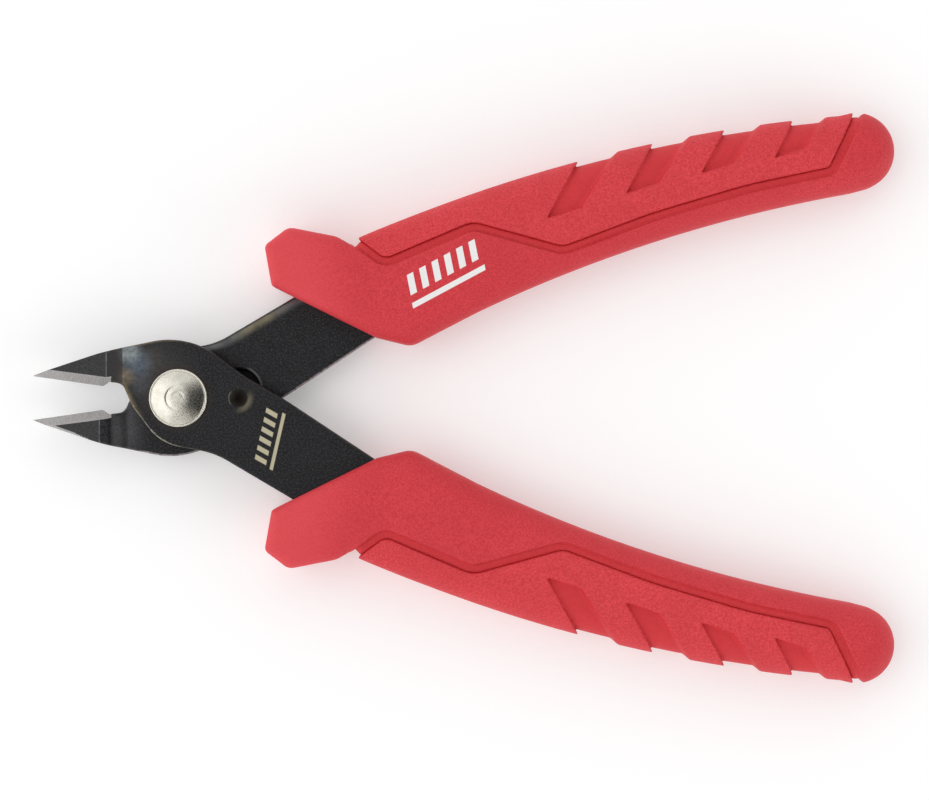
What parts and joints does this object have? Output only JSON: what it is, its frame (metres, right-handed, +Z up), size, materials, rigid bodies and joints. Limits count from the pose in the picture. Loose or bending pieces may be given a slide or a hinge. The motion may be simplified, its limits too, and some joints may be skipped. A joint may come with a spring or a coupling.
{
  "type": "diagonal cutting pliers",
  "caption": "Mini flush-cutting pliers: two riveted black steel halves with joggled, bevelled jaws, a hidden return spring and curved red moulded grips with coarse outer pads.",
  "frame": {"origin": "on the table under the middle of the tool's bounding box, at the open rest pose", "axes": "+X from the jaws to the ends of the handles, +Y towards the upper handle, +Z up along the pivot axis, out of the domed rivet head"},
  "size_m": [0.1312, 0.0866, 0.0105],
  "materials": {
    "black_steel": "black oxide, fine grain, bare ground edges",
    "rivet_steel": "nickel plated, lightly pitted",
    "spring_steel": "bright drawn wire",
    "grip_core": "fine spark texture",
    "grip_pad": "coarse moulded grain"
  },
  "bodies": {
    "rear_half": {"rear_blade": "black_steel", "pivot_rivet": "rivet_steel", "upper_grip_core": "grip_core", "upper_grip_pad": "grip_pad"},
    "front_half": {"front_blade": "black_steel", "return_spring": "spring_steel", "lower_grip_core": "grip_core", "lower_grip_pad": "grip_pad"}
  },
  "joints": [
    {"name": "pivot", "type": "hinge", "parent": "rear_half", "child": "front_half", "pos_m": [-0.04305, 0, 0.00525], "axis": [0, 0, 1], "range_deg": [0, 16.4], "stiffness_Nm_per_rad": 0.6, "springref_deg": -14.32, "deforming": ["return_spring"]}
  ]
}
